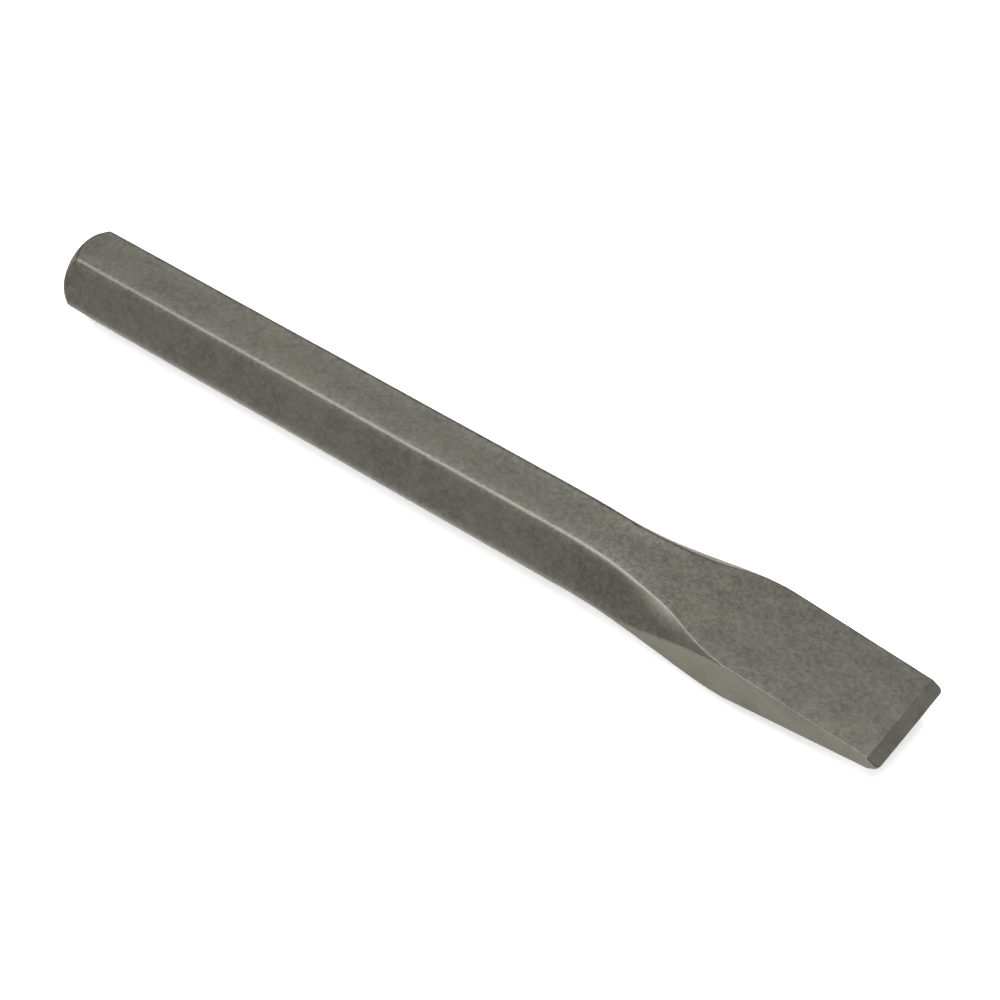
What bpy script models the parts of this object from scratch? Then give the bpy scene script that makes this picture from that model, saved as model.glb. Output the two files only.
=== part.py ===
"""Flat chisel drop forged in one piece from hexagonal bar.

The bar lies along X on one of its flats. Its struck end is turned to a shallow cone. The other end is
forged out into a wide flat wedge, and ground on both sides to a cutting edge.
Metres, +Z up, +X from the struck end to the cutting edge. The origin is on the surface the bar lies on,
under the middle of its length.
"""

import math

import bmesh
import bpy

MM = 0.001

# The bar and its struck end
LENGTH = 250.0 * MM
ACROSS_FLATS = 22.0 * MM
STRUCK_FACE_RADIUS = 10.6 * MM
TURNED_ANGLE = math.radians(30.0)  # of the turned cone, from the axis

# The forged end. Stations are distances from the struck end.
WEDGE_START = 161.2 * MM  # where the wedge faces would meet the bar's flats
WEDGE_BLEND = 0.8 * MM  # how close the wedge comes to the flat before they are blended
GROUND_START = 247.0 * MM  # where the ground bevels begin
GROUND_HALF_THICKNESS = 2.0 * MM  # half the blade's thickness there
EDGE_HALF_THICKNESS = 0.15 * MM  # half the narrow land left on the cutting edge
SPREAD_START = 155.6 * MM  # where the bar starts to widen
SPREAD_END = 185.5 * MM  # where the blade is widest
BLADE_HALF_WIDTH = 13.65 * MM  # at its widest
EDGE_HALF_WIDTH = 13.2 * MM  # at the cutting edge
FACE_START = 170.0 * MM  # where the bar's upper flat starts to widen into the blade's face
SIDE_START = 168.5 * MM  # where the blade's upright sides grow out of the bar's corners
SIDE_GROWTH = 1.5  # how slowly they start to
SQUARE_FROM = 212.5 * MM  # where the section has become a rectangle
PLAN_CORNER_RADIUS = 1.2 * MM  # at the two ends of the cutting edge

# Edge radii
MOST_ROUNDED_SHARE = 0.9  # of a side's length that a rounded edge may take
BAR_RADIUS = 1.5 * MM
BLADE_RADIUS = 0.25 * MM

# The swell: a stretch where the slanted side bulges under its upper edge, and its lower edge is softer
SWELL_START = 171.0 * MM
SWELL_TOP = 191.0 * MM
SWELL_END = 207.0 * MM
BULGE_RADIUS = 13.0 * MM
BULGE_TURN = math.radians(21.0)  # how far the bulge tips towards the upper face
SOFT_RADIUS = 1.8 * MM  # of the lower edge

# Mesh fineness
EDGE_STEPS = 3
BULGE_STEPS = 2
CORNER_STEPS = 2
FORGED_STATIONS = 34
CORNER_STATIONS = 4
TURNED_SIDES = 72
MERGE_DISTANCE = 0.001 * MM

HALF_FLATS = ACROSS_FLATS / 2.0
BAR_CORNER = ACROSS_FLATS / math.sqrt(3.0)
BAR_FACE_HALF_WIDTH = BAR_CORNER / 2.0
FORGED_START = 153.0 * MM


def ramp(value, start, end):
    """0 before start, 1 after end, and a smooth rise between."""
    share = min(max((value - start) / (end - start), 0.0), 1.0)
    return share * share * (3.0 - 2.0 * share)


def mix(low, high, share):
    return low + (high - low) * share


def blended_min(first, second, blend):
    """The smaller of two lengths, rounded off where they are closer than blend."""
    near = max(blend - abs(first - second), 0.0)
    return min(first, second) - near * near / (4.0 * blend)


def half_thickness(station):
    """Half the height of the section, from the bar's flats down the wedge and the ground bevel."""
    wedge_slope = (HALF_FLATS - GROUND_HALF_THICKNESS) / (GROUND_START - WEDGE_START)
    wedge = HALF_FLATS - (station - WEDGE_START) * wedge_slope
    bevel_slope = (GROUND_HALF_THICKNESS - EDGE_HALF_THICKNESS) / (LENGTH - GROUND_START)
    bevel = EDGE_HALF_THICKNESS + (LENGTH - station) * bevel_slope
    return min(blended_min(HALF_FLATS, wedge, WEDGE_BLEND), bevel)


def half_width(station):
    """Half the width of the section at its widest, with the corners of the cutting edge rounded off."""
    if station <= SPREAD_END:
        width = mix(BAR_CORNER, BLADE_HALF_WIDTH, ramp(station, SPREAD_START, SPREAD_END))
    else:
        taper = (station - SPREAD_END) / (LENGTH - SPREAD_END)
        width = mix(BLADE_HALF_WIDTH, EDGE_HALF_WIDTH, taper)
    past = max(station - (LENGTH - PLAN_CORNER_RADIUS), 0.0)
    left = math.sqrt(max(PLAN_CORNER_RADIUS**2 - past**2, 0.0))
    return width - PLAN_CORNER_RADIUS + left


def section(station):
    """Corners of the section's quadrant at +Y, +Z as (y, z, radius, first angle, last angle, steps).

    The section is an octagon with rounded corners. On the bar its upright sides have no height, so it is a
    hexagon. On the blade its slanted sides have no length, so it is a rectangle.
    """
    thick = half_thickness(station)
    wide = half_width(station)
    face = mix(BAR_FACE_HALF_WIDTH, wide, ramp(station, FACE_START, SQUARE_FROM))
    side = thick * ramp(station, SIDE_START, SQUARE_FROM) ** SIDE_GROWTH

    # The slanted side runs from (face, thick) to (wide, side), and faces along (out_y, out_z).
    run = wide - face
    drop = thick - side
    slant = math.hypot(run, drop)
    angle = math.atan2(run, drop) if slant > MERGE_DISTANCE else math.pi / 4.0
    out_y = math.cos(angle)
    out_z = math.sin(angle)
    reach = out_y * face + out_z * thick

    swell = ramp(station, SWELL_START, SWELL_TOP) * (1.0 - ramp(station, SWELL_TOP, SWELL_END))
    radius = mix(BAR_RADIUS, BLADE_RADIUS, ramp(station, SWELL_START, SWELL_END))
    radius = min(radius, MOST_ROUNDED_SHARE * thick)
    turn = BULGE_TURN * swell
    bulge = radius
    if turn > 0.0:
        bulge = max(min(BULGE_RADIUS, MOST_ROUNDED_SHARE * slant / turn), radius)
    soft = mix(radius, SOFT_RADIUS, swell)

    # The edge of the upper face, and the bulge below it
    edge_z = thick - radius
    inset = bulge - (bulge - radius) * math.cos(turn)
    edge_y = min((reach - inset - out_z * edge_z) / out_y, wide - radius)
    bulge_y = edge_y - (bulge - radius) * math.cos(angle + turn)
    bulge_z = edge_z - (bulge - radius) * math.sin(angle + turn)

    # The lower corner
    corner_z = min(max((reach - soft - out_y * (wide - soft)) / out_z, 0.0), thick - soft)
    corner_y = min((reach - soft - out_z * corner_z) / out_y, wide - soft)
    return [
        (edge_y, edge_z, radius, math.pi / 2.0, angle + turn, EDGE_STEPS),
        (bulge_y, bulge_z, bulge, angle + turn, angle, BULGE_STEPS),
        (corner_y, corner_z, soft, angle, 0.0, CORNER_STEPS),
    ]


def outline(station):
    """The section's points, clockwise seen from the cutting edge."""
    quadrant = []
    for centre_y, centre_z, radius, first, last, steps in section(station):
        for step in range(steps + 1):
            angle = mix(first, last, step / steps)
            quadrant.append((centre_y + radius * math.cos(angle), centre_z + radius * math.sin(angle)))
    right = [(y, z) for y, z in quadrant] + [(y, -z) for y, z in reversed(quadrant)]
    return right + [(-y, -z) for y, z in right]


def stations():
    """Where the sections stand along the bar: close together where it changes shape."""
    corner_start = LENGTH - PLAN_CORNER_RADIUS
    forged = [mix(FORGED_START, GROUND_START, step / FORGED_STATIONS) for step in range(FORGED_STATIONS + 1)]
    quarter = math.pi / 2.0 / CORNER_STATIONS
    corner = [
        corner_start + PLAN_CORNER_RADIUS * math.sin(step * quarter) for step in range(CORNER_STATIONS + 1)
    ]
    return [0.0, *forged, *corner]


def add_mesh_object(name, mesh_builder):
    """An object in the scene whose mesh holds what mesh_builder adds to a bmesh."""
    mesh = bpy.data.meshes.new(name)
    bm = bmesh.new()
    mesh_builder(bm)
    bm.to_mesh(mesh)
    bm.free()
    obj = bpy.data.objects.new(name, mesh)
    bpy.context.scene.collection.objects.link(obj)
    return obj


def loft_forging(bm):
    """The forging before its struck end is turned: the sections joined one to the next, and both ends closed."""
    loops = []
    for station in stations():
        x = station - LENGTH / 2.0
        loops.append([bm.verts.new((x, y, z + HALF_FLATS)) for y, z in outline(station)])
    for near, far in zip(loops, loops[1:]):
        for index in range(len(near)):
            after = (index + 1) % len(near)
            bm.faces.new((near[index], near[after], far[after], far[index]))
    bm.faces.new(loops[0])
    bm.faces.new(loops[-1])
    bmesh.ops.remove_doubles(bm, verts=bm.verts, dist=MERGE_DISTANCE)
    bmesh.ops.recalc_face_normals(bm, faces=bm.faces)


def turned_envelope(bm):
    """The cone that the struck end is turned to, carried on past the cutting edge, along +Z."""
    depth = LENGTH + ACROSS_FLATS
    bmesh.ops.create_cone(
        bm,
        cap_ends=True,
        segments=TURNED_SIDES,
        radius1=STRUCK_FACE_RADIUS,
        radius2=STRUCK_FACE_RADIUS + depth * math.tan(TURNED_ANGLE),
        depth=depth,
    )
    bmesh.ops.translate(bm, verts=bm.verts, vec=(0.0, 0.0, depth / 2.0))


def forged_steel():
    """Dark grey forged steel under a thin clear lacquer."""
    material = bpy.data.materials.new("forged_steel")
    material.use_nodes = True
    shader = material.node_tree.nodes["Principled BSDF"]
    shader.inputs["Base Color"].default_value = (0.15, 0.145, 0.125, 1.0)
    shader.inputs["Metallic"].default_value = 0.6
    shader.inputs["Roughness"].default_value = 0.5
    return material


def build():
    for obj in list(bpy.data.objects):
        bpy.data.objects.remove(obj)

    chisel = add_mesh_object("chisel", loft_forging)
    envelope = add_mesh_object("turned_envelope", turned_envelope)
    envelope.location = (-LENGTH / 2.0, 0.0, HALF_FLATS)
    envelope.rotation_euler = (0.0, math.pi / 2.0, 0.0)
    envelope.hide_render = True
    envelope.display_type = "WIRE"

    turning = chisel.modifiers.new("turned struck end", "BOOLEAN")
    turning.operation = "INTERSECT"
    turning.solver = "EXACT"
    turning.object = envelope

    chisel.data.materials.append(forged_steel())
    chisel.data.shade_smooth()
    chisel.data.set_sharp_from_angle(angle=math.radians(25.0))


build()
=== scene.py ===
"""Looks for the flat chisel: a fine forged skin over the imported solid, its steel, and a plain studio.

Metres, +Z up. The chisel lies along X on a flat of its bar, with the struck end at the low end of X.
"""

import math

import bmesh
import bpy
from mathutils import Matrix, Quaternion, Vector, noise


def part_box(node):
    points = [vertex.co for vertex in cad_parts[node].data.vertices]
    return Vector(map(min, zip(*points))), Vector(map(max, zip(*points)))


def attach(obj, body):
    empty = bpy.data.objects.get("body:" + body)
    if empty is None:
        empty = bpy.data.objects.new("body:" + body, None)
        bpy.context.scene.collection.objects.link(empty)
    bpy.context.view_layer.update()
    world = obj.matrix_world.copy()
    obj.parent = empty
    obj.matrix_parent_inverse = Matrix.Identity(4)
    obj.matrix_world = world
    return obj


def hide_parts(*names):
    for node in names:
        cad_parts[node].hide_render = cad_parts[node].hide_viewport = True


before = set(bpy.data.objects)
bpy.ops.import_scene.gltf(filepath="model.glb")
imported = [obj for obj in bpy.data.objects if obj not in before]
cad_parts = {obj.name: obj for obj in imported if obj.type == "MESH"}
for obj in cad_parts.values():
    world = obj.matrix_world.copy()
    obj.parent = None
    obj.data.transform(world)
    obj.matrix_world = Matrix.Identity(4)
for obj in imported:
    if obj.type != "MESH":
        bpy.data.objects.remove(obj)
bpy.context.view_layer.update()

MM = 0.001
LOW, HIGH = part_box("chisel")
LENGTH = HIGH.x - LOW.x
HALF_FLATS = (HIGH.z - LOW.z) / 2.0
AXIS_Z = LOW.z + HALF_FLATS

# The bar and its struck end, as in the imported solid
BAR_CORNER = HALF_FLATS / math.cos(math.radians(30.0))
BAR_FACE_HALF_WIDTH = BAR_CORNER / 2.0
STRUCK_FACE_RADIUS = 10.6 * MM
TURNED_ANGLE = math.radians(30.0)  # of the turned cone, from the axis

# What the skin adds to the struck end
RIM_RADIUS = 0.6 * MM  # rounds the struck face into the turned cone
FACE_CROWN = 0.2 * MM  # how far the struck face's rim lies behind its middle
CROWN_FADE = 3.0 * MM  # how far along the bar the crown dies away
TURNED_BLEND = 0.3 * MM  # how softly the turned cone meets the bar's flats
FACE_RINGS = (0.97, 0.9, 0.75, 0.6, 0.45, 0.3, 0.15)  # across the struck face, as shares of its radius

# The forged end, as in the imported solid. Stations are distances from the struck end.
WEDGE_START = 161.2 * MM  # where the wedge faces would meet the bar's flats
WEDGE_BLEND = 0.8 * MM  # how close the wedge comes to the flat before they are blended
GROUND_START = LENGTH - 3.0 * MM  # where the ground bevels begin
GROUND_HALF_THICKNESS = 2.0 * MM  # half the blade's thickness there
EDGE_HALF_THICKNESS = 0.15 * MM  # half the narrow land left on the cutting edge
SPREAD_START = 155.6 * MM  # where the bar starts to widen
SPREAD_END = 185.5 * MM  # where the blade is widest
BLADE_HALF_WIDTH = 13.65 * MM  # at its widest
EDGE_HALF_WIDTH = 13.2 * MM  # at the cutting edge
FACE_START = 170.0 * MM  # where the bar's upper flat starts to widen into the blade's face
SIDE_START = 168.5 * MM  # where the blade's upright sides grow out of the bar's corners
SIDE_GROWTH = 1.5  # how slowly they start to
SQUARE_FROM = 212.5 * MM  # where the section has become a rectangle
PLAN_CORNER_RADIUS = 1.2 * MM  # at the two ends of the cutting edge

# What the skin adds to the forged end
GROUND_BLEND = 0.1 * MM  # how softly the wedge meets the bevel
GROUND_FADE = 0.1 * MM  # the ground finish fades in this far either side of the bevel's start

# Edge radii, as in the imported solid
MOST_ROUNDED_SHARE = 0.9  # of a side's length that a rounded edge may take
BAR_RADIUS = 1.5 * MM
BLADE_RADIUS = 0.25 * MM

# The swell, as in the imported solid: a stretch where the slanted side bulges under its upper edge
SWELL_START = 171.0 * MM
SWELL_TOP = 191.0 * MM
SWELL_END = 207.0 * MM
BULGE_RADIUS = 13.0 * MM
BULGE_TURN = math.radians(21.0)  # how far the bulge tips towards the upper face
SOFT_RADIUS = 1.8 * MM  # of the lower edge

# Wear, and painted highlight and sheen, along the rounded edges
FACE_REACH = 1.6 * MM  # how far from a rounded edge its wear and painted sheen reach over the upper and lower faces
SIDE_REACH = 0.5 * MM  # and over the slanted and upright sides
BLADE_WEAR_AND_SHEEN = 0.15  # how worn the blade's edges are, and how much painted highlight they get, beside the bar's

# The stretches of a quadrant of the section, from the middle of the upper face to the middle of the side
FACE, EDGE, BULGE, SLANT, CORNER, SIDE = range(6)

# Mesh fineness: points round a quadrant of the section
QUADRANT_STEPS = 46
TURN_EFFORT = 6.0 * MM  # a radian of turning gets as many points as this much more length

# Mesh fineness: gaps between the sections, from the struck end on
RIM_GAP = 0.06 * MM
TURNED_GAP = 0.12 * MM
BAR_GAP = 0.75 * MM
FORGED_GAP = 0.6 * MM
SHOULDER_GAP = 0.05 * MM  # at the bevel's start, as far as SHOULDER_REACH either side of it
SHOULDER_REACH = 0.5 * MM
BEVEL_GAP = 0.2 * MM
CORNER_STATIONS = 14  # how many gaps there are round the ends of the cutting edge
MERGE_DISTANCE = 0.001 * MM
SHARP_ANGLE = math.radians(40.0)  # an edge that turns more than this is shaded sharp

# How uneven the forged skin is: (wavelength, depth) of each layer, always inwards
UNEVENNESS = ((34.0 * MM, 0.07 * MM), (7.0 * MM, 0.03 * MM), (1.9 * MM, 0.016 * MM))
NOISE_GAIN = 1.6  # spreads the noise over its whole range
NOISE_STEP = 11.3  # wavelengths along X from one layer's place in the noise to the next
NOISE_PLACE = (4.7, 8.1)  # and their place in it in Y and Z
MACHINED_SMOOTHNESS = 0.85  # the share of the unevenness that turning or grinding takes away


def ramp(value, start, end):
    """0 before start, 1 after end, and a smooth rise between."""
    share = min(max((value - start) / (end - start), 0.0), 1.0)
    return share * share * (3.0 - 2.0 * share)


def mix(low, high, share):
    return low + (high - low) * share


def blended_min(first, second, blend):
    """The smaller of two lengths, rounded off where they are closer than blend."""
    near = max(blend - abs(first - second), 0.0)
    return min(first, second) - near * near / (4.0 * blend)


def half_thickness(station):
    """Half the height of the section, from the bar's flats down the wedge and the ground bevel."""
    wedge_slope = (HALF_FLATS - GROUND_HALF_THICKNESS) / (GROUND_START - WEDGE_START)
    wedge = HALF_FLATS - (station - WEDGE_START) * wedge_slope
    bevel_slope = (GROUND_HALF_THICKNESS - EDGE_HALF_THICKNESS) / (LENGTH - GROUND_START)
    bevel = EDGE_HALF_THICKNESS + (LENGTH - station) * bevel_slope
    return blended_min(blended_min(HALF_FLATS, wedge, WEDGE_BLEND), bevel, GROUND_BLEND)


def half_width(station):
    """Half the width of the section at its widest, with the corners of the cutting edge rounded off."""
    if station <= SPREAD_END:
        width = mix(BAR_CORNER, BLADE_HALF_WIDTH, ramp(station, SPREAD_START, SPREAD_END))
    else:
        taper = (station - SPREAD_END) / (LENGTH - SPREAD_END)
        width = mix(BLADE_HALF_WIDTH, EDGE_HALF_WIDTH, taper)
    past = max(station - (LENGTH - PLAN_CORNER_RADIUS), 0.0)
    left = math.sqrt(max(PLAN_CORNER_RADIUS**2 - past**2, 0.0))
    return width - PLAN_CORNER_RADIUS + left


def section(station):
    """The quadrant at +Y, +Z as its three arcs: the edge of the upper face, the bulge, the lower corner.

    Each is (y, z, radius, first angle, last angle). The section is an octagon with rounded corners. On the
    bar its upright sides have no height, and on the blade its slanted sides have no length.
    """
    thick = half_thickness(station)
    wide = half_width(station)
    face = mix(BAR_FACE_HALF_WIDTH, wide, ramp(station, FACE_START, SQUARE_FROM))
    side = thick * ramp(station, SIDE_START, SQUARE_FROM) ** SIDE_GROWTH

    # The slanted side runs from (face, thick) to (wide, side), and faces along (out_y, out_z).
    run = wide - face
    drop = thick - side
    slant = math.hypot(run, drop)
    angle = math.atan2(run, drop) if slant > MERGE_DISTANCE else math.pi / 4.0
    out_y = math.cos(angle)
    out_z = math.sin(angle)
    reach = out_y * face + out_z * thick

    swell = ramp(station, SWELL_START, SWELL_TOP) * (1.0 - ramp(station, SWELL_TOP, SWELL_END))
    radius = mix(BAR_RADIUS, BLADE_RADIUS, ramp(station, SWELL_START, SWELL_END))
    radius = min(radius, MOST_ROUNDED_SHARE * thick)
    turn = BULGE_TURN * swell
    bulge = radius
    if turn > 0.0:
        bulge = max(min(BULGE_RADIUS, MOST_ROUNDED_SHARE * slant / turn), radius)
    soft = mix(radius, SOFT_RADIUS, swell)

    # The edge of the upper face, and the bulge below it
    edge_z = thick - radius
    inset = bulge - (bulge - radius) * math.cos(turn)
    edge_y = min((reach - inset - out_z * edge_z) / out_y, wide - radius)
    bulge_y = edge_y - (bulge - radius) * math.cos(angle + turn)
    bulge_z = edge_z - (bulge - radius) * math.sin(angle + turn)

    # The lower corner
    corner_z = min(max((reach - soft - out_y * (wide - soft)) / out_z, 0.0), thick - soft)
    corner_y = min((reach - soft - out_z * corner_z) / out_y, wide - soft)
    return (
        (edge_y, edge_z, radius, math.pi / 2.0, angle + turn),
        (bulge_y, bulge_z, bulge, angle + turn, angle),
        (corner_y, corner_z, soft, angle, 0.0),
    )


def on_arc(arc, share):
    """The point that share of the way along an arc."""
    centre_y, centre_z, radius, first, last = arc
    angle = mix(first, last, share)
    return centre_y + radius * math.cos(angle), centre_z + radius * math.sin(angle)


def quadrant(station):
    """Points from the middle of the upper face to the middle of the side, as (y, z, wear_and_sheen).

    They are evenly spread by length and turn together, so that rounded edges get the closest points.
    wear_and_sheen, the edge wear with a painted highlight and sheen, is highest on a rounded edge and fades
    away from it.
    """
    edge, bulge, corner = section(station)
    arcs = {EDGE: edge, BULGE: bulge, CORNER: corner}

    # Where each stretch starts, and last where the side ends
    starts = [
        (0.0, on_arc(edge, 0.0)[1]),
        on_arc(edge, 0.0),
        on_arc(edge, 1.0),
        on_arc(bulge, 1.0),
        on_arc(corner, 0.0),
        on_arc(corner, 1.0),
        (on_arc(corner, 1.0)[0], 0.0),
    ]
    rounded_ends = [starts[stretch] for stretch in (EDGE, BULGE, CORNER, SIDE)]
    # The blade's edges get less wear and less painted highlight than the bar's
    wear_and_sheen_share = mix(1.0, BLADE_WEAR_AND_SHEEN, ramp(station, SWELL_START, SWELL_TOP))

    efforts = []
    for stretch, (start, end) in enumerate(zip(starts, starts[1:])):
        if stretch in arcs:
            *_, radius, first, last = arcs[stretch]
            efforts.append((first - last) * (radius + TURN_EFFORT))
        else:
            efforts.append(math.dist(start, end))
    total = sum(efforts)

    points = []
    for step in range(QUADRANT_STEPS + 1):
        left = total * step / QUADRANT_STEPS
        stretch = FACE
        while stretch < SIDE and left > efforts[stretch]:
            left -= efforts[stretch]
            stretch += 1
        share = min(left / efforts[stretch], 1.0) if efforts[stretch] > 0.0 else 0.0
        if stretch in arcs:
            y, z = on_arc(arcs[stretch], share)
        else:
            start, end = starts[stretch], starts[stretch + 1]
            y, z = mix(start[0], end[0], share), mix(start[1], end[1], share)
        away = 0.0
        if stretch not in (EDGE, CORNER):
            away = min(math.dist((y, z), rounded_end) for rounded_end in rounded_ends)
        reach = FACE_REACH if stretch == FACE else SIDE_REACH
        points.append((y, z, wear_and_sheen_share * math.exp(-away / reach)))
    return points


def outline(station):
    """The whole section as (y, z, wear_and_sheen), clockwise seen from the cutting edge, with no point
    twice.
    """
    upper = quadrant(station)
    right = upper + [(y, -z, wear_and_sheen) for y, z, wear_and_sheen in reversed(upper[:-1])]
    return right[:-1] + [(-y, -z, wear_and_sheen) for y, z, wear_and_sheen in right[:-1]]


def turned_radius(station):
    """Radius of the turned cone, with its rim at the struck face rounded."""
    cone = STRUCK_FACE_RADIUS + station * math.tan(TURNED_ANGLE)
    into = min(station / RIM_RADIUS, 1.0)
    return cone - RIM_RADIUS * (1.0 - math.sqrt(1.0 - (1.0 - into) ** 2))


def turned(point, station):
    """The outline's point, brought in to the turned cone where it stands proud, as (y, z, wear_and_sheen,
    turned).
    """
    y, z, wear_and_sheen = point
    out = math.hypot(y, z)
    limit = turned_radius(station)
    kept = blended_min(out, limit, TURNED_BLEND)
    return y * kept / out, z * kept / out, wear_and_sheen, ramp(out - limit, -TURNED_BLEND, TURNED_BLEND)


def spaced(start, end, spacing):
    """Values from start up to end, not counting end."""
    count = max(round((end - start) / spacing), 1)
    return [mix(start, end, step / count) for step in range(count)]


def stations():
    """Where the sections stand: closest at the struck end, the bevel's start and the cutting edge's ends."""
    turned_end = TURNED_BLEND + (BAR_CORNER - STRUCK_FACE_RADIUS) / math.tan(TURNED_ANGLE)
    shoulder_start = GROUND_START - SHOULDER_REACH
    shoulder_end = GROUND_START + SHOULDER_REACH
    corner = LENGTH - PLAN_CORNER_RADIUS
    stops = [0.0, RIM_RADIUS, turned_end, SPREAD_START, shoulder_start, shoulder_end, corner]
    gaps = [RIM_GAP, TURNED_GAP, BAR_GAP, FORGED_GAP, SHOULDER_GAP, BEVEL_GAP]
    found = []
    for start, end, gap in zip(stops, stops[1:], gaps):
        found += spaced(start, end, gap)
    quarter = [step / CORNER_STATIONS * math.pi / 2.0 for step in range(CORNER_STATIONS + 1)]
    return found + [corner + PLAN_CORNER_RADIUS * math.sin(angle) for angle in quarter]


def uneven(point):
    """How far the forged skin lies below its nominal surface at a point."""
    depth = 0.0
    for layer, (wavelength, deep) in enumerate(UNEVENNESS):
        at = point / wavelength + Vector((NOISE_STEP * layer, *NOISE_PLACE))
        depth += deep * (0.5 + 0.5 * max(min(noise.noise(at) * NOISE_GAIN, 1.0), -1.0))
    return depth


def forged_skin():
    """The chisel's fine outer mesh.

    Its points store how much they are ground, turned, worn and painted with highlight, and part of the
    blade.
    """
    mesh = bpy.data.meshes.new("forged_chisel")
    bm = bmesh.new()
    ground_layer = bm.verts.layers.float.new("ground")
    turned_layer = bm.verts.layers.float.new("turned")
    wear_and_sheen_layer = bm.verts.layers.float.new("wear_and_sheen")
    blade_layer = bm.verts.layers.float.new("blade")

    def add_ring(x, points, ground=0.0, blade=0.0):
        ring = []
        for y, z, wear_and_sheen, turned_share in points:
            vert = bm.verts.new((LOW.x + x, y, AXIS_Z + z))
            vert[ground_layer] = ground
            vert[turned_layer] = turned_share
            vert[wear_and_sheen_layer] = wear_and_sheen
            vert[blade_layer] = blade
            ring.append(vert)
        return ring

    rings = []
    rim = [turned(point, 0.0) for point in outline(0.0)]
    for share in reversed(FACE_RINGS):
        points = [(y * share, z * share, 0.0, 1.0) for y, z, *_ in rim]
        rings.append(add_ring(FACE_CROWN * share * share, points))
    for station in stations():
        crown = FACE_CROWN * (1.0 - ramp(station, 0.0, CROWN_FADE))
        points = [turned(point, station) for point in outline(station)]
        ground = ramp(station, GROUND_START - GROUND_FADE, GROUND_START + GROUND_FADE)
        blade = ramp(station, FACE_START, SQUARE_FROM)
        rings.append(add_ring(station + crown, points, ground, blade))
    for near, far in zip(rings, rings[1:]):
        for index in range(len(near)):
            after = (index + 1) % len(near)
            bm.faces.new((near[index], near[after], far[after], far[index]))
    bm.faces.new(rings[0])
    bm.faces.new(rings[-1])
    bmesh.ops.remove_doubles(bm, verts=bm.verts, dist=MERGE_DISTANCE)
    bmesh.ops.recalc_face_normals(bm, faces=bm.faces)
    bm.normal_update()
    for vert in bm.verts:
        left_rough = 1.0 - MACHINED_SMOOTHNESS * max(vert[ground_layer], vert[turned_layer])
        vert.co -= vert.normal * uneven(vert.co) * left_rough
    bm.to_mesh(mesh)
    bm.free()
    mesh.shade_smooth()
    mesh.set_sharp_from_angle(angle=SHARP_ANGLE)
    skin = bpy.data.objects.new("forged_chisel", mesh)
    bpy.context.scene.collection.objects.link(skin)
    return skin


class Nodes:
    """Adds and links the nodes of one material."""

    def __init__(self, name):
        self.material = bpy.data.materials.new(name)
        self.material.use_nodes = True
        self.tree = self.material.node_tree
        self.shader = self.tree.nodes["Principled BSDF"]

    def set(self, node, key, value):
        """Gives an input a constant, or links another node's output to it."""
        if isinstance(value, bpy.types.NodeSocket):
            self.tree.links.new(value, node.inputs[key])
        else:
            node.inputs[key].default_value = value

    def place(self, scale):
        """Object coordinates times scale."""
        coordinates = self.tree.nodes.new("ShaderNodeTexCoord")
        mapping = self.tree.nodes.new("ShaderNodeMapping")
        self.set(mapping, "Vector", coordinates.outputs["Object"])
        mapping.inputs["Scale"].default_value = scale
        return mapping.outputs["Vector"]

    def attribute(self, name):
        node = self.tree.nodes.new("ShaderNodeAttribute")
        node.attribute_name = name
        return node.outputs["Fac"]

    def noise(self, vector, scale, detail, roughness):
        node = self.tree.nodes.new("ShaderNodeTexNoise")
        self.set(node, "Vector", vector)
        self.set(node, "Scale", scale)
        self.set(node, "Detail", detail)
        self.set(node, "Roughness", roughness)
        return node.outputs["Fac"]

    def voronoi(self, vector, scale):
        node = self.tree.nodes.new("ShaderNodeTexVoronoi")
        self.set(node, "Vector", vector)
        self.set(node, "Scale", scale)
        return node.outputs["Distance"]

    def remap(self, value, low, high, new_low=0.0, new_high=1.0):
        """value taken smoothly from between low and high to between new_low and new_high."""
        node = self.tree.nodes.new("ShaderNodeMapRange")
        node.interpolation_type = "SMOOTHSTEP"
        self.set(node, "Value", value)
        self.set(node, "From Min", low)
        self.set(node, "From Max", high)
        self.set(node, "To Min", new_low)
        self.set(node, "To Max", new_high)
        return node.outputs["Result"]

    def math(self, operation, first, second):
        node = self.tree.nodes.new("ShaderNodeMath")
        node.operation = operation
        self.set(node, 0, first)
        self.set(node, 1, second)
        return node.outputs["Value"]

    def add_part(self, value, other, share):
        """value plus share times other."""
        return self.math("ADD", value, self.math("MULTIPLY", other, share))

    def less(self, value, share):
        """1 less share times value."""
        return self.math("SUBTRACT", 1.0, self.math("MULTIPLY", value, share))

    def blend(self, share, first, second):
        """Colours mixed by share. The node has its colours at inputs 6 and 7, and their mix at output 2."""
        node = self.tree.nodes.new("ShaderNodeMix")
        node.data_type = "RGBA"
        self.set(node, 0, share)
        self.set(node, 6, first)
        self.set(node, 7, second)
        return node.outputs[2]

    def bump(self, height, distance, normal=None):
        """A normal tilted by height, on top of another where there is one."""
        node = self.tree.nodes.new("ShaderNodeBump")
        self.set(node, "Height", height)
        self.set(node, "Distance", distance)
        if normal is not None:
            self.set(node, "Normal", normal)
        return node.outputs["Normal"]


# The steel's colours, and the colour of its reflection at grazing angles
OLIVE = (0.079, 0.079, 0.066, 1.0)
BROWN = (0.085, 0.080, 0.066, 1.0)
PALE = (0.117, 0.114, 0.099, 1.0)
DARK = (0.047, 0.046, 0.038, 1.0)
# The bare steel of worn edges, which is also the colour of the painted highlight along them
BARE_AND_HIGHLIGHT = (0.160, 0.157, 0.144, 1.0)
GRAZING = (0.78, 0.76, 0.71, 1.0)

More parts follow.
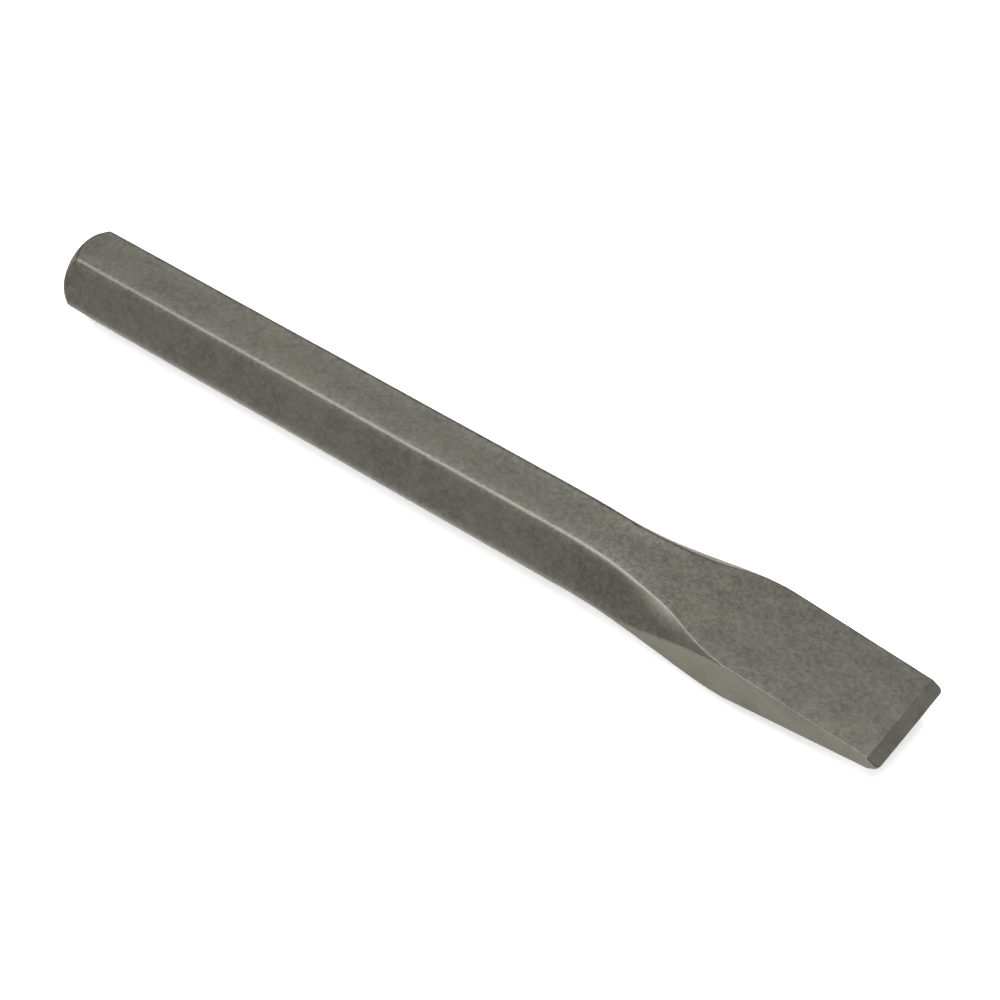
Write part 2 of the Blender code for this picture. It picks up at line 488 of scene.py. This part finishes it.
# About how many features of each pattern there are to a millimetre
PATCH_SCALE = 0.045
CLOUD_SCALE = 0.16
MOTTLE_SCALE = 0.9
GRAIN_SCALE = 3.2
PIT_SCALE = 0.7
CUT_SCALE = 4.0  # across the marks of grinding and turning

# What object coordinates are multiplied by
EVERY_WAY = (1000.0, 1000.0, 1000.0)  # to millimetres
ALONG_BAR = (60.0, 1000.0, 60.0)  # the marks of grinding, drawn out along X
ROUND_BAR = (1000.0, 20.0, 20.0)  # the marks of turning, drawn out across X

# How deep the relief is
FORGED_RELIEF = 0.035 * MM
CUT_RELIEF = 0.01 * MM

# The share of the forged relief that is missing
BLADE_FINENESS = 0.5  # on the blade, where pale specks and dark grain are as much weaker
MACHINED_FINENESS = 0.8  # where the steel is turned or ground


def steel():
    """Dark forged steel: clouded, mottled, pitted, rubbed along its edges with a painted highlight there,
    with a turned end.
    """
    nodes = Nodes("dark_forged_steel")
    every_way = nodes.place(EVERY_WAY)
    ground = nodes.attribute("ground")
    turned_share = nodes.attribute("turned")
    wear_and_sheen = nodes.attribute("wear_and_sheen")
    machined = nodes.math("MAXIMUM", ground, turned_share)
    coarse = nodes.less(nodes.attribute("blade"), BLADE_FINENESS)

    patches = nodes.noise(every_way, PATCH_SCALE, 2.0, 0.5)
    clouds = nodes.noise(every_way, CLOUD_SCALE, 3.0, 0.6)
    mottle = nodes.noise(every_way, MOTTLE_SCALE, 4.0, 0.65)
    grain = nodes.noise(every_way, GRAIN_SCALE, 3.0, 0.6)
    cells = nodes.voronoi(every_way, PIT_SCALE)
    pits = nodes.remap(nodes.add_part(cells, grain, 0.4), 0.34, 0.22)

    # Colour: pale specks, dark grain and pits over clouded olive and brown, and bare steel on worn edges,
    # which is also a painted highlight and sheen along them
    colour = nodes.blend(nodes.remap(patches, 0.38, 0.62), OLIVE, BROWN)
    colour = nodes.blend(nodes.remap(clouds, 0.64, 0.30, 0.0, 0.5), colour, DARK)
    specks = nodes.math("SUBTRACT", nodes.remap(mottle, 0.36, 0.72), 0.4)
    specks = nodes.math("ADD", nodes.math("MULTIPLY", specks, coarse), 0.4)
    colour = nodes.blend(nodes.math("MULTIPLY", specks, 0.5), colour, PALE)
    dark_grain = nodes.remap(grain, 0.50, 0.25, 0.0, 0.25)
    colour = nodes.blend(nodes.math("MULTIPLY", dark_grain, coarse), colour, DARK)
    colour = nodes.blend(nodes.math("MULTIPLY", pits, 0.4), colour, DARK)
    # Worn edges lightened towards bare steel: partly rubbed steel, partly a painted highlight and sheen
    rubbed_and_sheen = nodes.math("MULTIPLY", wear_and_sheen, nodes.remap(mottle, 0.35, 0.6, 0.35, 1.0))
    colour = nodes.blend(nodes.math("MULTIPLY", rubbed_and_sheen, 0.35), colour, BARE_AND_HIGHLIGHT)

    # Roughness: higher in the pits and on worn edges
    rough = nodes.add_part(nodes.remap(mottle, 0.3, 0.7, 0.36, 0.45), pits, 0.1)
    rough = nodes.add_part(rough, wear_and_sheen, 0.1)

    # Relief: mottle, pits and grain, then the marks of grinding, then those of turning
    hammered = nodes.math("SUBTRACT", mottle, nodes.math("MULTIPLY", pits, 0.6))
    hammered = nodes.add_part(hammered, grain, 0.4)
    forged = nodes.math("MULTIPLY", hammered, nodes.less(machined, MACHINED_FINENESS))
    normal = nodes.bump(nodes.math("MULTIPLY", forged, coarse), FORGED_RELIEF)
    lines = nodes.noise(nodes.place(ALONG_BAR), CUT_SCALE, 2.0, 0.5)
    normal = nodes.bump(nodes.math("MULTIPLY", lines, ground), CUT_RELIEF, normal)
    rings = nodes.noise(nodes.place(ROUND_BAR), CUT_SCALE, 2.0, 0.5)
    normal = nodes.bump(nodes.math("MULTIPLY", rings, turned_share), CUT_RELIEF, normal)

    nodes.set(nodes.shader, "Base Color", colour)
    nodes.set(nodes.shader, "Roughness", rough)
    nodes.set(nodes.shader, "Normal", normal)
    nodes.shader.inputs["Metallic"].default_value = 1.0
    nodes.shader.inputs["Specular Tint"].default_value = GRAZING
    return nodes.material


# The studio
FLOOR_SIZE = 8.0
FLOOR_COLOUR = (0.86, 0.86, 0.86, 1.0)
FLOOR_ROUGHNESS = 0.9
FLOOR_SPECULAR = 0.2
FLOOR_GLOW = 0.5  # lit from below, as a product table is, so that shadows stay faint
WHITE = (1.0, 1.0, 1.0, 1.0)
SURROUNDINGS_GLOW = 0.15
CAMERA_AZIMUTH = math.radians(42.504)
CAMERA_ELEVATION = math.radians(49.813)
CAMERA_ROLL = math.radians(-5.699)
CAMERA_AIM_SHARE = 0.53826  # of the length, from the struck end
CAMERA_AIM_DROP = 0.37 * MM  # below the bar's axis
CAMERA_DISTANCE = 2.7212 * LENGTH
CAMERA_LENS = 102.86  # millimetres, as is the sensor's width
CAMERA_SENSOR = 36.0
CAMERA_NEAREST = 0.05  # metres, as is the farthest it sees
CAMERA_FARTHEST = 50.0

# Softboxes: name, azimuth and elevation in degrees, distance and (width, height) in metres, power in watts
SOFTBOXES = (
    ("left", -55.0, 58.0, 1.6, (0.9, 0.9), 24.0),
    ("left_low", -22.0, 32.0, 1.6, (0.9, 0.9), 5.7),
    ("top", 110.0, 85.0, 1.5, (0.9, 0.9), 31.0),
    ("back_right", 135.0, 20.0, 1.6, (0.9, 0.6), 9.9),
    ("back_left", -120.0, 50.0, 1.6, (0.9, 0.9), 6.0),
    ("back_low", -155.0, 9.0, 1.6, (1.6, 0.5), 2.5),
)


def towards(azimuth, elevation):
    """The direction of something seen at that azimuth and elevation from the object."""
    flat = math.cos(elevation)
    return Vector((math.sin(azimuth) * flat, -math.cos(azimuth) * flat, math.sin(elevation)))


def add_camera():
    data = bpy.data.cameras.new("camera")
    data.lens = CAMERA_LENS
    data.sensor_width = CAMERA_SENSOR
    data.clip_start = CAMERA_NEAREST
    data.clip_end = CAMERA_FARTHEST
    camera = bpy.data.objects.new("camera", data)
    bpy.context.scene.collection.objects.link(camera)
    aim = Vector((LOW.x + CAMERA_AIM_SHARE * LENGTH, 0.0, AXIS_Z - CAMERA_AIM_DROP))
    back = towards(CAMERA_AZIMUTH, CAMERA_ELEVATION)
    turn = (-back).to_track_quat("-Z", "Y") @ Quaternion((0.0, 0.0, 1.0), CAMERA_ROLL)
    camera.matrix_world = Matrix.Translation(aim + back * CAMERA_DISTANCE) @ turn.to_matrix().to_4x4()
    bpy.context.scene.camera = camera


def add_softbox(name, azimuth, elevation, distance, size, power):
    """A rectangular area light facing the origin from that direction."""
    data = bpy.data.lights.new(name, "AREA")
    data.shape = "RECTANGLE"
    data.size, data.size_y = size
    data.energy = power
    light = bpy.data.objects.new(name, data)
    direction = towards(math.radians(azimuth), math.radians(elevation))
    light.location = direction * distance
    light.rotation_mode = "QUATERNION"
    light.rotation_quaternion = (-direction).to_track_quat("-Z", "Y")
    bpy.context.scene.collection.objects.link(light)


def add_floor():
    mesh = bpy.data.meshes.new("floor")
    half = FLOOR_SIZE / 2.0
    corners = [(-half, -half, LOW.z), (half, -half, LOW.z), (half, half, LOW.z), (-half, half, LOW.z)]
    mesh.from_pydata(corners, [], [(0, 1, 2, 3)])
    floor = bpy.data.objects.new("floor", mesh)
    nodes = Nodes("pale_floor")
    nodes.shader.inputs["Base Color"].default_value = FLOOR_COLOUR
    nodes.shader.inputs["Roughness"].default_value = FLOOR_ROUGHNESS
    nodes.shader.inputs["Specular IOR Level"].default_value = FLOOR_SPECULAR
    nodes.shader.inputs["Emission Color"].default_value = WHITE
    nodes.shader.inputs["Emission Strength"].default_value = FLOOR_GLOW
    mesh.materials.append(nodes.material)
    bpy.context.scene.collection.objects.link(floor)


def add_world():
    world = bpy.data.worlds.new("studio")
    world.use_nodes = True
    background = world.node_tree.nodes["Background"]
    background.inputs["Color"].default_value = WHITE
    background.inputs["Strength"].default_value = SURROUNDINGS_GLOW
    bpy.context.scene.world = world


def add_studio():
    bpy.context.scene.view_settings.view_transform = "Standard"
    add_camera()
    add_floor()
    add_world()
    for softbox in SOFTBOXES:
        add_softbox(*softbox)


skin = forged_skin()
skin.data.materials.append(steel())
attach(skin, "root")
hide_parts("chisel")
add_studio()
